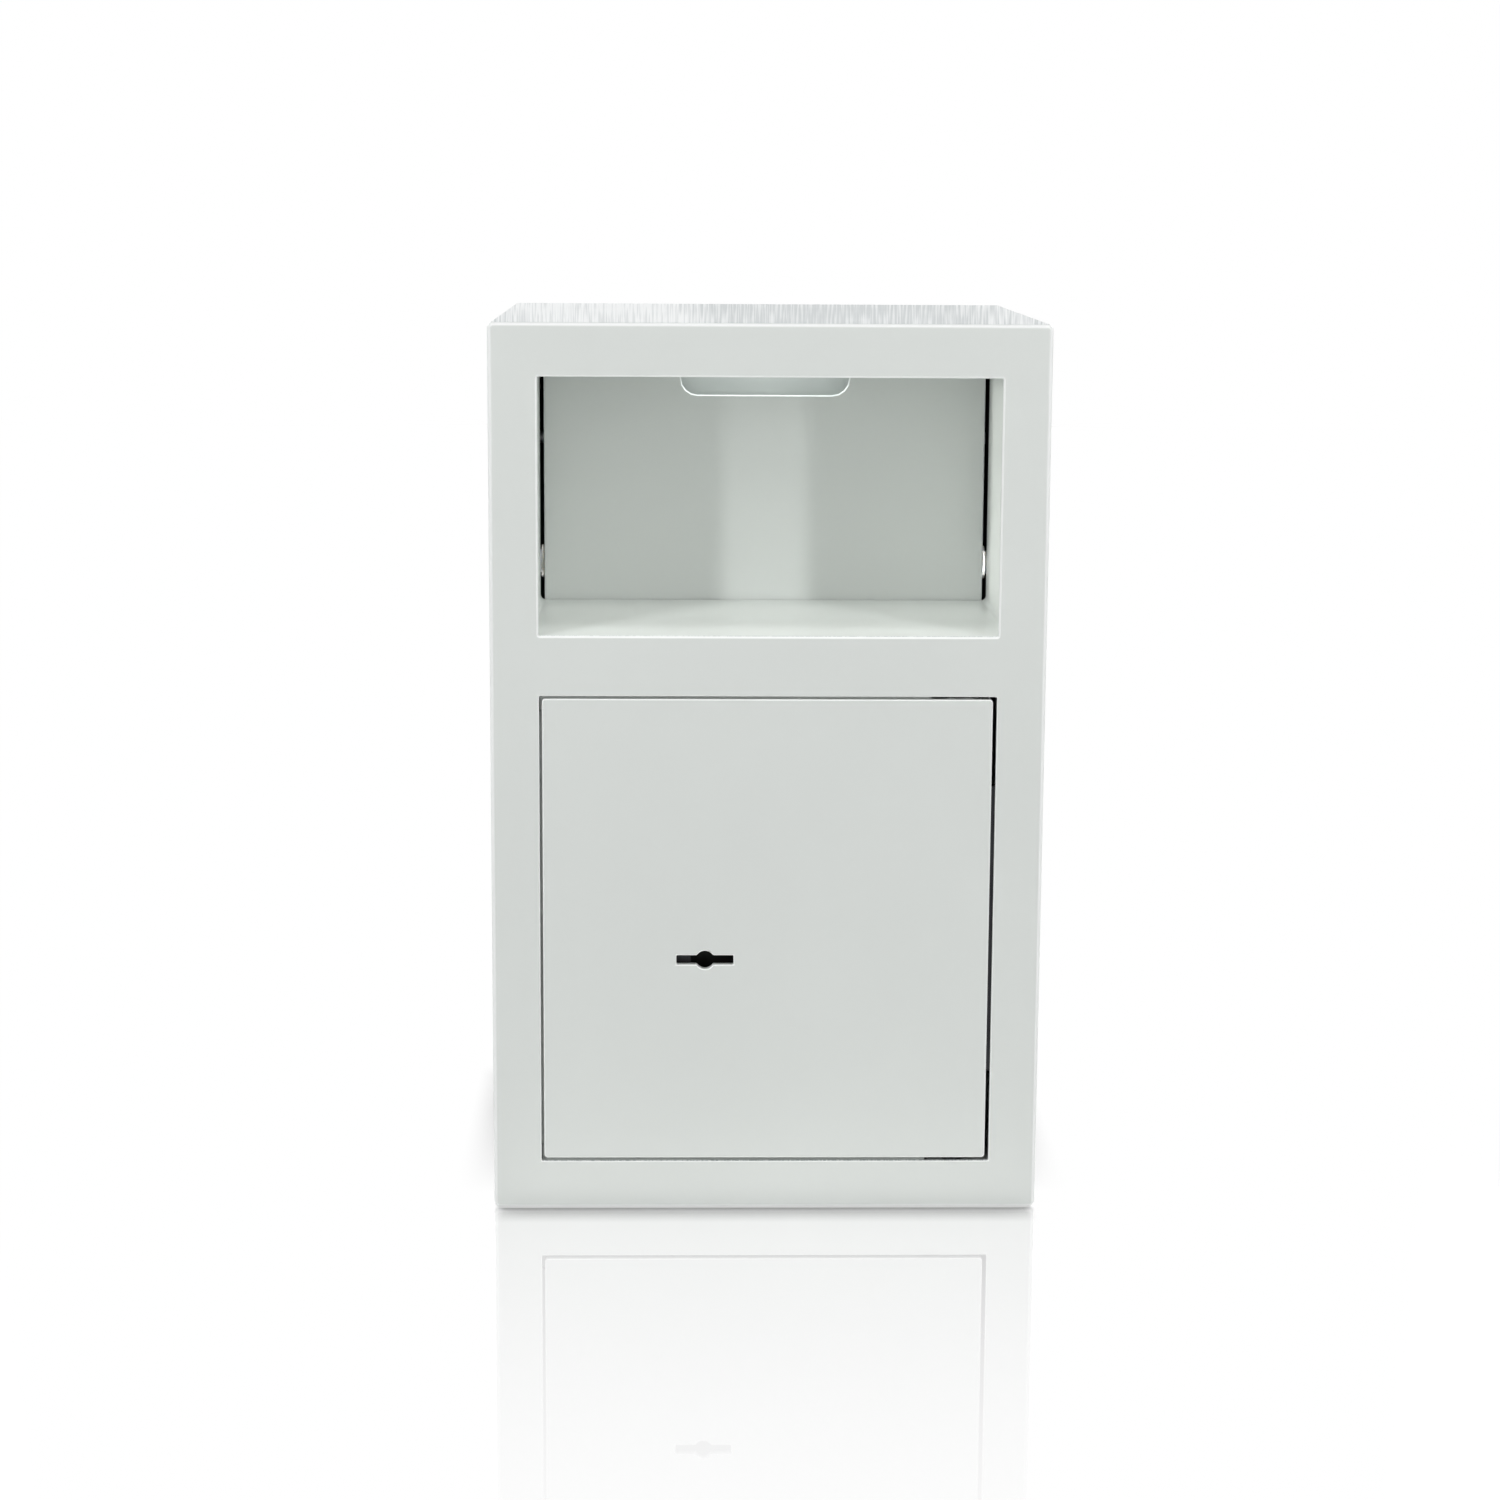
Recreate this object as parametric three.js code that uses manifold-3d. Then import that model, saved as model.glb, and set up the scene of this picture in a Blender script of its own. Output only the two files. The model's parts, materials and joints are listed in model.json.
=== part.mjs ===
// Deposit safe: a free-standing steel safe with a tilting deposit hopper above a key-locked door.
// Millimetres. X runs to the right and Z up, seen from the front. Y runs from the front to the back.
// The parts are drawn with Y = 0 on the front face, and the whole is then centred on its base.

import * as THREE from 'three';
import { mergeVertices } from 'three/addons/utils/BufferGeometryUtils.js';
import Module from 'manifold-3d';

const wasm = await Module();
wasm.setup();

// Overall size of the body
const width = 310;
const height = 503;
const depth = 290;
const wall = 3;
const foldRadius = 3;

// Front frame: the margins round the deposit opening and the door
const sideRail = 27.3;
const topRail = 29.7;
const openingHeight = 142.9;
const middleRail = 33.8;
const bottomRail = 27.8;
const openingEdgeRadius = 1.7;
const openingCornerRadius = 0.6;
const doorwayEdgeRadius = 0.8;
const doorwayCornerRadius = 0.9;

// Clearances
const fit = 0.3;
const boreFit = 0.3;
const runningGap = 2;

// Deposit recess and the plates round the hopper
const sheet = 2;
const sheetFold = 3;
const recessDepth = 160.5;
const recessStep = 6.9;
const recessOffset = 1.2;
const trayRearGap = 0.8;
const trayLip = 12;
const trayFlange = 9;
const ceilingDrop = 13;
const ceilingFlange = 10;
const sidePlate = 3;
const sidePlateLap = 42;
const sidePlateDrop = 92;
const sidePlateCorner = 12;

// Hopper
const pivotBack = 12;
const pivotRise = 21.9;
const panelSideGap = 2.3;
const panelFloorLap = 3;
const panelTopGap = 2;
const panelHem = 5;
const panelFold = 0.6;
const notchWidth = 100.6;
const notchFloor = 123.3;
const notchRadius = 10;
const cupDepth = 20;
const cupSheet = 1.5;
const cupMargin = 6;
const baffleAngle = 45;
const baffleOffset = 14;
const baffleLip = 12;
const cheekMargin = 7;
const hopperSwing = 75;
const shieldStart = 10;
const shieldEnd = 60;
const shieldFlange = 14;

// Hopper axle and stops
const pivotDiameter = 10;
const studCollar = 14;
const washerDiameter = 20;
const washerThickness = 1.8;
const washerRim = 1.5;
const pivotNutAcross = 16;
const pivotNutHeight = 7;
const stopDiameter = 8;
const stopInset = 28;
const stopAngle = 65;
const stopReach = 8;

// Door
const doorThickness = 5;
const latchGap = 1.5;
const hingeGap = 2.2;
const doorTopGap = 1.5;
const doorBottomGap = 1.9;
const doorCornerRadius = 2;
const doorEdgeRadius = 1;
const stopLap = 8.7;
const stopGap = 0.4;
const stopFoot = 14;

// Hinge
const hingeInset = 18;
const hingeBack = 10;
const hingePin = 8;
const knuckleRadius = 7;
const knuckleHeight = 22;
const bracketThickness = 3;
const bracketDepth = 21;
const bracketOverhang = 14;
const bracketLift = 0.9;
const bracketTab = 11;
const hingeWasherDiameter = 13;
const hingeWasherThickness = 1.6;
const dogThickness = 6;
const dogReach = 8.5;
const dogLap = 13;
const dogInset = 50;
const dogCorner = 3;

// Keyhole and lock
const keyX = -34.9;
const keyZ = 145.8;
const keySlotLength = 32.3;
const keySlotHeight = 5.4;
const keyDiameter = 10.6;
const lockLeft = 36;
const lockRight = 44;
const lockHalfHeight = 42;
const lockDepth = 20;
const lockSheet = 2;
const lockCorner = 3;
const lockScrew = 5;
const lockScrewInset = 8;
const tongueHeight = 26;
const tongueThickness = 10;
const tongueTail = 26;

// Boltwork
const boltThrow = 22;
const boltDiameter = 16;
const boltInset = 50;
const boltChamfer = 1.5;
const boltSpigot = 8;
const boltNutAcross = 13;
const boltNutHeight = 6.5;
const guideInset = 10;
const guideSheet = 2.5;
const guideFoot = 14;
const guideMargin = 28;
const barSheet = 3;
const barWeb = 12;
const barArm = 48;
const barArmHeight = 18;
const barMargin = 10;
const barHeadroom = 7;
const guideStud = 8;
const guideStudBase = 12;
const guideNutAcross = 13;
const guideNutHeight = 5;
const tongueScrew = 6;

// Fixing holes in the base and the back, with their plugs
const anchorHole = 12;
const anchorInsetX = 50;
const anchorInsetY = 48;
const backAnchorHeight = 205;
const plugHead = 18;
const plugHeadHeight = 2.5;

// Places that follow from the sizes above
const halfWidth = width / 2;
const innerHalf = halfWidth - wall;
const innerTop = height - wall;
const innerBack = depth - wall;
const openingHalf = halfWidth - sideRail;
const openingTop = height - topRail;
const openingBottom = openingTop - openingHeight;
const doorwayTop = openingBottom - middleRail;
const doorwayBottom = bottomRail;

const trayHalf = openingHalf + recessStep;
const trayBack = recessDepth - trayRearGap;
const sidePlateInner = trayHalf + sheet + fit;
const ceilingZ = innerTop - ceilingDrop;
const pivotY = recessDepth + pivotBack;
const pivotZ = openingBottom + pivotRise;
const panelHalf = trayHalf - panelSideGap;
const panelBottom = openingBottom - panelFloorLap;
const panelTop = ceilingZ - panelTopGap;
const panelRear = recessDepth + sheet;
const cheekInner = panelHalf - sheet;
const notchBottom = openingBottom + notchFloor;

const shieldLegY = innerBack - fit - sheet / 2;
const shieldRadius = (shieldLegY - pivotY) / Math.cos(THREE.MathUtils.degToRad(shieldStart));
const hopperReach = shieldLegY - sheet / 2 - pivotY - runningGap;
const cheekRadius = hopperReach - runningGap;
const stopRadius = cheekRadius - stopInset;

const doorLeft = -openingHalf + latchGap;
const doorRight = openingHalf - hingeGap;
const doorTop = doorwayTop - doorTopGap;
const doorBottom = doorwayBottom + doorBottomGap;
const hingeX = doorRight - hingeInset;
const hingeSweep = Math.hypot(hingeInset, hingeBack);
const stopY = doorThickness + stopGap;

const boltY = stopY + sheet + 1 + boltDiameter / 2;
const lowerBoltZ = doorBottom + boltInset;
const upperBoltZ = doorTop - boltInset;
const guideX = doorLeft + guideInset;
const barX = guideX + guideSheet + boltThrow + runningGap;
const barWebY = boltY + boltDiameter / 2 + barHeadroom;
const lockBack = doorThickness + lockDepth;

const paint = { color: 0xd3d7d4, roughness: 0.38, metalness: 0.0 };
const innerPaint = { color: 0x3a3c3c, roughness: 0.6, metalness: 0.0 };
const zinc = { color: 0xc9ccd0, roughness: 0.28, metalness: 1.0 };
const steel = { color: 0x9a9c9e, roughness: 0.42, metalness: 1.0 };
const brass = { color: 0xb59a55, roughness: 0.35, metalness: 1.0 };
const plastic = { color: 0x1c1d1e, roughness: 0.5, metalness: 0.0 };
const nylon = { color: 0xeeeeea, roughness: 0.45, metalness: 0.0 };

// Curves and outlines

function arcPoints(x, y, radius, from, to, step = 15) {
  const count = Math.max(1, Math.ceil(Math.abs(to - from) / step));
  const points = [];
  for (let i = 0; i <= count; i += 1) {
    const angle = THREE.MathUtils.degToRad(from + ((to - from) * i) / count);
    points.push(new THREE.Vector2(x + radius * Math.cos(angle), y + radius * Math.sin(angle)));
  }
  return points;
}

// Rounds one corner of a path: the points of the arc between its two tangent points
function cornerArc(before, corner, after, radius, step = 22.5) {
  const toBefore = before.clone().sub(corner).normalize();
  const toAfter = after.clone().sub(corner).normalize();
  const half = Math.acos(THREE.MathUtils.clamp(toBefore.dot(toAfter), -1, 1)) / 2;
  if (half > Math.PI / 2 - 0.01) return [corner.clone()];
  const room = 0.49 * Math.min(before.distanceTo(corner), after.distanceTo(corner));
  const tangent = Math.min(radius / Math.tan(half), room);
  const arcRadius = tangent * Math.tan(half);
  const inward = toBefore.clone().add(toAfter).normalize();
  const centre = inward.multiplyScalar(arcRadius / Math.sin(half)).add(corner);
  const start = corner.clone().addScaledVector(toBefore, tangent).sub(centre);
  const end = corner.clone().addScaledVector(toAfter, tangent).sub(centre);
  const from = THREE.MathUtils.radToDeg(start.angle());
  let turn = THREE.MathUtils.radToDeg(end.angle()) - from;
  if (turn > 180) turn -= 360;
  if (turn < -180) turn += 360;
  return arcPoints(centre.x, centre.y, arcRadius, from, from + turn, step);
}

function toVectors(pairs) {
  return pairs.map(([x, y]) => new THREE.Vector2(x, y));
}

// A closed outline with every corner rounded
function roundedOutline(pairs, radius) {
  const corners = toVectors(pairs);
  const count = corners.length;
  const points = corners.flatMap((corner, i) =>
    cornerArc(corners[(i + count - 1) % count], corner, corners[(i + 1) % count], radius)
  );
  return new THREE.Shape(points);
}

function rectangle(x0, x1, y0, y1, radius = 0) {
  const corners = [[x0, y0], [x1, y0], [x1, y1], [x0, y1]];
  return radius > 0 ? roundedOutline(corners, radius) : new THREE.Shape(toVectors(corners));
}

// The section of a folded sheet: a mid-line with bent corners, thickened to both sides
function foldedSection(pairs, thickness, innerRadius) {
  const corners = toVectors(pairs);
  const line = corners.flatMap((corner, i) => {
    if (i === 0 || i === corners.length - 1) return [corner];
    return cornerArc(corners[i - 1], corner, corners[i + 1], innerRadius + thickness / 2);
  });
  const left = [];
  const right = [];
  line.forEach((point, i) => {
    const ahead = i < line.length - 1 ? line[i + 1].clone().sub(point).normalize() : null;
    const behind = i > 0 ? point.clone().sub(line[i - 1]).normalize() : null;
    const first = ahead ?? behind;
    const second = behind ?? ahead;
    const along = first.clone().add(second).normalize();
    const reach = thickness / 2 / Math.max(0.5, along.dot(first));
    const normal = new THREE.Vector2(-along.y, along.x).multiplyScalar(reach);
    left.push(point.clone().add(normal));
    right.push(point.clone().sub(normal));
  });
  return new THREE.Shape([...left, ...right.reverse()]);
}

// Solids

// An outline drawn in XZ, run along Y
function alongY(shape, from, to) {
  const geometry = new THREE.ExtrudeGeometry(shape, { depth: to - from, bevelEnabled: false });
  geometry.rotateX(Math.PI / 2);
  return geometry.translate(0, to, 0);
}

// An outline drawn in YZ, run along X
function alongX(shape, from, to) {
  const geometry = new THREE.ExtrudeGeometry(shape, { depth: to - from, bevelEnabled: false });
  geometry.applyMatrix4(new THREE.Matrix4().set(0, 0, 1, from, 1, 0, 0, 0, 0, 1, 0, 0, 0, 0, 0, 1));
  return geometry;
}

// An outline drawn in XY, run along Z
function alongZ(shape, from, to) {
  const geometry = new THREE.ExtrudeGeometry(shape, { depth: to - from, bevelEnabled: false });
  return geometry.translate(0, 0, from);
}

function block(x0, x1, y0, y1, z0, z1) {
  const geometry = new THREE.BoxGeometry(x1 - x0, y1 - y0, z1 - z0);
  return geometry.translate((x0 + x1) / 2, (y0 + y1) / 2, (z0 + z1) / 2);
}

// A turned piece: profile pairs of radius and distance along the axis, which points along +X, +Y or +Z
function turned(profile, axis, x, y, z, segments = 24) {
  const geometry = new THREE.LatheGeometry(toVectors(profile), segments);
  if (axis === '+X') geometry.rotateZ(-Math.PI / 2);
  if (axis === '+Z') geometry.rotateX(Math.PI / 2);
  return geometry.translate(x, y, z);
}

function rod(radius, from, to, segments, axis, x, y, z) {
  return turned([[0, from], [radius, from], [radius, to], [0, to]], axis, x, y, z, segments);
}

function ring(inner, outer, from, to, axis, x, y, z, segments = 24) {
  const profile = [[inner, from], [outer, from], [outer, to], [inner, to], [inner, from]];
  return turned(profile, axis, x, y, z, segments);
}

// A hexagon across its flats, with a round bore if one is given
function hexagon(across, bore = 0) {
  const corners = [];
  for (let i = 0; i < 6; i += 1) {
    const angle = THREE.MathUtils.degToRad(60 * i + 30);
    const radius = across / Math.sqrt(3);
    corners.push(new THREE.Vector2(radius * Math.cos(angle), radius * Math.sin(angle)));
  }
  const shape = new THREE.Shape(corners);
  if (bore > 0) shape.holes.push(new THREE.Path().absarc(0, 0, bore / 2, 0, 2 * Math.PI, true));
  return shape;
}

// A solid that runs along Y through rectangles [y, x0, x1, z0, z1, corner radius]
function lofted(sections, steps = 4) {
  const rings = sections.map(([y, x0, x1, z0, z1, radius]) => {
    const ringPoints = [
      ...arcPoints(x1 - radius, z1 - radius, radius, 0, 90, 90 / steps),
      ...arcPoints(x0 + radius, z1 - radius, radius, 90, 180, 90 / steps),
      ...arcPoints(x0 + radius, z0 + radius, radius, 180, 270, 90 / steps),
      ...arcPoints(x1 - radius, z0 + radius, radius, 270, 360, 90 / steps),
    ];
    return ringPoints.map((point) => new THREE.Vector3(point.x, y, point.y));
  });
  const count = rings[0].length;
  const vertices = rings.flat();
  const indices = [];
  for (let r = 0; r < rings.length - 1; r += 1) {
    for (let i = 0; i < count; i += 1) {
      const a = r * count + i;
      const b = r * count + ((i + 1) % count);
      indices.push(a, a + count, b, b, a + count, b + count);
    }
  }
  const last = (rings.length - 1) * count;
  for (let i = 1; i < count - 1; i += 1) {
    indices.push(0, i, i + 1);
    indices.push(last, last + i + 1, last + i);
  }
  const geometry = new THREE.BufferGeometry().setFromPoints(vertices);
  geometry.setIndex(indices);
  return geometry;
}

// Sections of a round edge of the given radius, in front of a rectangle that runs back to a depth
function roundFront(x0, x1, z0, z1, radius, corner, back, grow) {
  const steps = 4;
  const sections = [];
  for (let i = 0; i <= steps; i += 1) {
    const angle = (Math.PI / 2) * (i / steps);
    const inset = radius * (1 - Math.sin(angle)) * (grow ? -1 : 1);
    const y = radius * (1 - Math.cos(angle));
    sections.push([y, x0 + inset, x1 - inset, z0 + inset, z1 - inset, Math.max(0.05, corner - inset)]);
  }
  sections.push([back, x0, x1, z0, z1, corner]);
  return sections;
}

// Joining and cutting

function toSolid(geometry) {
  const bare = geometry.clone();
  bare.deleteAttribute('normal');
  bare.deleteAttribute('uv');
  const merged = mergeVertices(bare, 1e-5);
  const vertProperties = new Float32Array(merged.attributes.position.array);
  const triVerts = new Uint32Array(merged.index.array);
  return new wasm.Manifold(new wasm.Mesh({ numProp: 3, vertProperties, triVerts }));
}

function toGeometry(solid) {
  const mesh = solid.getMesh();
  const geometry = new THREE.BufferGeometry();
  geometry.setAttribute('position', new THREE.BufferAttribute(mesh.vertProperties, 3));
  geometry.setIndex(new THREE.BufferAttribute(mesh.triVerts, 1));
  const flat = geometry.toNonIndexed();
  flat.computeVertexNormals();
  return flat;
}

function cut(base, tools) {
  return toGeometry(tools.reduce((solid, tool) => solid.subtract(toSolid(tool)), toSolid(base)));
}

function join(pieces) {
  return toGeometry(pieces.slice(1).reduce((solid, piece) => solid.add(toSolid(piece)), toSolid(pieces[0])));
}

function part(name, geometry, finish) {
  const mesh = new THREE.Mesh(geometry, new THREE.MeshStandardMaterial(finish));
  mesh.name = name;
  return mesh;
}

// A piece drawn for the right side, and its mirror image on the left
function pair(name, geometry, finish) {
  const left = part(`${name}_left`, geometry, finish);
  left.scale.x = -1;
  return [part(`${name}_right`, geometry, finish), left];
}

// Body shell: front, sides, top and base folded as one deep pan, with both openings cut in the front

const baseAnchors = [-1, 1].flatMap((side) => [
  [side * (innerHalf - anchorInsetX), anchorInsetY],
  [side * (innerHalf - anchorInsetX), depth - anchorInsetY],
]);
const backAnchors = [-1, 1].map((side) => [side * (innerHalf - anchorInsetX), backAnchorHeight]);

function bodyShell() {
  const outside = lofted(roundFront(-halfWidth, halfWidth, 0, height, foldRadius, foldRadius, depth, false));
  const inside = block(-innerHalf, innerHalf, wall, depth + 1, wall, innerTop);
  const deep = wall + 1;
  const opening = roundFront(
    -openingHalf, openingHalf, openingBottom, openingTop, openingEdgeRadius, openingCornerRadius, deep, true
  );
  const doorway = roundFront(
    -openingHalf, openingHalf, doorwayBottom, doorwayTop, doorwayEdgeRadius, doorwayCornerRadius, deep, true
  );
  const cutters = [inside];
  for (const sections of [opening, doorway]) {
    const front = [...sections[0]];
    front[0] = -1;
    cutters.push(lofted([front, ...sections]));
  }
  for (const [x, y] of baseAnchors) cutters.push(rod(anchorHole / 2, -1, wall + 1, 24, '+Z', x, y, 0));
  return cut(outside, cutters);
}

function backPlate() {
  const half = innerHalf - fit;
  const shape = rectangle(-half, half, wall + fit, innerTop - fit, 0);
  for (const [x, z] of backAnchors) {
    shape.holes.push(new THREE.Path().absarc(x, z, anchorHole / 2, 0, 2 * Math.PI, true));
  }
  return alongY(shape, innerBack, depth);
}

// A plug: its stem fills the hole's wall and its head lies on the inside
function plugProfile() {
  const stem = anchorHole / 2 - boreFit;
  return [[0, fit], [stem, fit], [stem, wall + fit], [plugHead / 2, wall + fit],
    [plugHead / 2 - 1, wall + fit + plugHeadHeight], [0, wall + fit + plugHeadHeight]];
}

function anchorPlugs() {
  const plugs = baseAnchors.map(([x, y], i) =>
    part(`base_plug_${i + 1}`, turned(plugProfile(), '+Z', x, y, 0), plastic)
  );
  backAnchors.forEach(([x, z], i) => {
    const plug = turned(plugProfile(), '+Y', 0, 0, 0);
    plug.rotateX(Math.PI);
    plugs.push(part(`back_plug_${i + 1}`, plug.translate(x, depth, z), plastic));
  });
  return plugs;
}

// Deposit recess: a folded tray, whose floor is flush with the lower edge of the opening

function recessTray() {
  const side = trayHalf + sheet / 2;
  const floor = openingBottom - sheet / 2;
  const top = innerTop - sheet / 2;
  const section = [[-side - trayFlange, top], [-side, top], [-side, floor], [side, floor], [side, top],
    [side + trayFlange, top]];
  const tray = alongY(foldedSection(section, sheet, sheetFold), wall, trayBack);
  const lipHalf = trayHalf - 2 * sheetFold;
  const lipTop = floor;
  const lip = block(-lipHalf, lipHalf, trayBack - sheet, trayBack, openingBottom - sheet - trayLip, lipTop);
  return join([tray, lip]);
}

function hopperCeiling() {
  const side = trayHalf - fit - sheet / 2;
  const base = ceilingZ + sheet / 2;
  const top = Math.min(base + ceilingFlange, innerTop - fit);
  const section = [[-side, top], [-side, base], [side, base], [side, top]];
  return alongY(foldedSection(section, sheet, sheet), wall, innerBack - fit);
}

// The plates that carry the hopper, outside the tray and down behind it
function hopperSide() {
  const front = trayBack - sidePlateLap;
  const back = innerBack - fit;
  const top = innerTop - sheet - sheetFold - fit;
  const bottom = pivotZ - sidePlateDrop;
  const outline = [
    [front, top],
    [front, openingBottom - trayLip],
    [pivotY + sidePlateLap, bottom],
    [back, bottom + sidePlateCorner],
    [back, top],
  ];
  return alongX(roundedOutline(outline, sidePlateCorner), sidePlateInner, sidePlateInner + sidePlate);
}

function rearShield() {
  const arc = arcPoints(pivotY, pivotZ, shieldRadius, shieldStart, shieldEnd, 5);
  const last = arc[arc.length - 1];
  const line = [
    [shieldLegY, pivotZ - runningGap],
    ...arc.map((point) => [point.x, point.y]),
    [last.x, ceilingZ - fit - sheet / 2],
    [last.x + shieldFlange, ceilingZ - fit - sheet / 2],
  ];
  const half = sidePlateInner - fit;
  return alongX(foldedSection(line, sheet, sheet), -half, half);
}

// Hopper axle: collared studs welded to the side plates, a nylon washer outside each cheek, a cap nut inside

const stackInner = cheekInner - fit;
const washerInner = panelHalf + fit;
const washerOuter = washerInner + washerThickness;

function pivotStud() {
  const neck = pivotDiameter / 2;
  const collar = studCollar / 2;
  const shoulder = washerOuter + fit;
  const profile = [[0, stackInner - pivotNutHeight], [neck, stackInner - pivotNutHeight], [neck, shoulder],
    [collar, shoulder], [collar, sidePlateInner], [0, sidePlateInner]];
  return turned(profile, '+X', 0, pivotY, pivotZ);
}

// Both faces slope off from the collar's size to a thinner rim
function pivotWasher() {
  const bore = pivotDiameter / 2 + boreFit;
  const hub = studCollar / 2;
  const edge = washerDiameter / 2;
  const slope = (washerThickness - washerRim) / 2;
  const profile = [[bore, washerInner], [hub, washerInner], [edge, washerInner + slope],
    [edge, washerOuter - slope], [hub, washerOuter], [bore, washerOuter], [bore, washerInner]];
  return turned(profile, '+X', 0, pivotY, pivotZ, 32);
}

function pivotNut() {
  const body = alongZ(hexagon(pivotNutAcross), 0, pivotNutHeight);
  const crown = pivotNutAcross / 2 - 0.6;
  const arc = arcPoints(0, 0, crown, 0, 90, 15);
  const dome = arc.map((point) => [point.x, point.y * 0.7 + pivotNutHeight - 0.5]);
  const peak = dome.pop()[1];
  const cap = turned([[0, 1], [crown, 1], ...dome, [0, peak]], '+Z', 0, 0, 0);
  const bore = rod(pivotDiameter / 2 + boreFit, -1, pivotNutHeight + fit, 24, '+Z', 0, 0, 0);
  const nut = cut(join([body, cap]), [bore]);
  nut.rotateY(-Math.PI / 2);
  return nut.translate(stackInner, pivotY, pivotZ);
}

// Where a stop stud stands, seen from the side, at an angle above the horizontal
function stopPlace(degrees) {
  const angle = THREE.MathUtils.degToRad(degrees);
  return [pivotY + stopRadius * Math.cos(angle), pivotZ + stopRadius * Math.sin(angle)];
}

function stopStud() {
  const [y, z] = stopPlace(stopAngle);
  return rod(stopDiameter / 2, sidePlateInner - stopReach, sidePlateInner, 20, '+X', 0, y, z);
}

// Hopper: the flap panel, its grip pocket, two sector cheeks and the baffle

function hopperPanel() {
  const middle = recessDepth + sheet / 2;
  const foot = panelBottom + sheet / 2;
  const section = [[middle + panelHem, foot], [middle, foot], [middle, panelTop]];
  const panel = alongX(foldedSection(section, sheet, panelFold), -panelHalf, panelHalf);
  const half = notchWidth / 2;
  const notch = rectangle(-half, half, notchBottom, panelTop + 3 * notchRadius, notchRadius);
  return cut(panel, [alongY(notch, recessDepth - 1, panelRear + 1)]);
}

function gripCup() {
  const half = notchWidth / 2 + cupMargin;
  const bottom = notchBottom - cupMargin;
  const back = panelRear + cupDepth;
  const outline = rectangle(-half, half, bottom, panelTop + cupMargin, notchRadius + cupMargin);
  const inset = cupSheet;
  const inner = rectangle(
    -half + inset, half - inset, bottom + inset, panelTop + 2 * cupMargin, notchRadius + cupMargin - inset
  );
  const open = alongY(inner, panelRear - 1, back - inset);
  const rim = panelTop - cupSheet;
  const trim = block(-half - 1, half + 1, panelRear - 2, back + 1, rim, panelTop + 3 * cupMargin);
  return cut(alongY(outline, panelRear, back), [open, trim]);
}

const baffleDirection = THREE.MathUtils.degToRad(-baffleAngle);

// A point given by its distance along the baffle and its drop below the hopper's axis
function bafflePoint(along, drop) {
  const cos = Math.cos(baffleDirection);
  const sin = Math.sin(baffleDirection);
  return [pivotY + along * cos + drop * sin, pivotZ + along * sin - drop * cos];
}

function hopperCheek() {
  const drop = baffleOffset + cheekMargin;
  const lowAngle = THREE.MathUtils.radToDeg(baffleDirection - Math.asin(drop / cheekRadius));
  const highAngle = 90 + THREE.MathUtils.radToDeg(Math.asin((pivotBack - sheet) / cheekRadius));
  const low = panelBottom + sheet + panelFold + fit;
  const outline = [
    new THREE.Vector2(panelRear, low),
    new THREE.Vector2(recessDepth + sheet / 2 + panelHem + fit, low),
    ...arcPoints(pivotY, pivotZ, cheekRadius, lowAngle, highAngle, 5),
  ];
  const plate = alongX(new THREE.Shape(outline), cheekInner, panelHalf);
  const hub = rod(pivotDiameter / 2 + boreFit, cheekInner - 1, panelHalf + 1, 24, '+X', 0, pivotY, pivotZ);
  return cut(plate, [hub, stopSlot()]);
}

// The curved slot that the stop stud runs in while the hopper swings
function stopSlot() {
  const half = stopDiameter / 2 + boreFit + fit;
  const from = stopAngle - hopperSwing;
  const roundEnd = (angle, turnFrom) => {
    const [y, z] = stopPlace(angle);
    return arcPoints(y, z, half, turnFrom, turnFrom + 180, 30).slice(1, -1);
  };
  const outline = [
    ...arcPoints(pivotY, pivotZ, stopRadius + half, from, stopAngle, 5),
    ...roundEnd(stopAngle, stopAngle),
    ...arcPoints(pivotY, pivotZ, stopRadius - half, stopAngle, from, 5),
    ...roundEnd(from, from + 180),
  ];
  return alongX(new THREE.Shape(outline), cheekInner - 1, panelHalf + 1);
}

function hopperBaffle() {
  const lipDrop = baffleOffset + baffleLip;
  const end = Math.sqrt((hopperReach - runningGap) ** 2 - lipDrop ** 2) - sheet / 2;
  const cos = Math.cos(baffleDirection);
  const rootY = panelRear + fit + sheet;
  const root = (rootY - pivotY - baffleOffset * Math.sin(baffleDirection)) / cos;
  const line = [bafflePoint(root, baffleOffset), bafflePoint(end, baffleOffset), bafflePoint(end, lipDrop)];
  const half = cheekInner - fit;
  return alongX(foldedSection(line, sheet, sheet), -half, half);
}

// Door stops: joggled strips welded behind the front, which the closed door lies against

function joggle(edge) {
  const foot = wall + sheet / 2;
  const lap = stopY + sheet / 2;
  return [[edge + stopFoot, foot], [edge + 4, foot], [edge + 1.6, lap], [edge - stopLap, lap]];
}

function doorStopLeft() {
  const section = joggle(openingHalf).map(([across, back]) => [-across, back]);
  const from = doorwayBottom + stopLap + fit;
  const to = doorwayTop - stopLap - fit;
  return alongZ(foldedSection(section, sheet, 1), from, to);
}

const stopEnd = hingeX - bracketOverhang - runningGap;

function doorStopTop() {
  const section = joggle(doorwayTop).map(([across, back]) => [back, 2 * doorwayTop - across]);
  const upright = section.map(([back, z]) => [back, 2 * doorwayTop - z]);
  return alongX(foldedSection(upright, sheet, 1), -openingHalf, stopEnd);
}

function doorStopBottom() {
  const section = joggle(0).map(([across, back]) => [back, doorwayBottom - across]);
  return alongX(foldedSection(section, sheet, 1), -openingHalf, stopEnd);
}

// Hinge: a folded bracket at each corner, a knuckle on the door, and a pin through both

const pinHole = hingePin / 2 + boreFit;
const tabX = hingeX + hingeSweep + fit * 2 + bracketThickness / 2;

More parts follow.
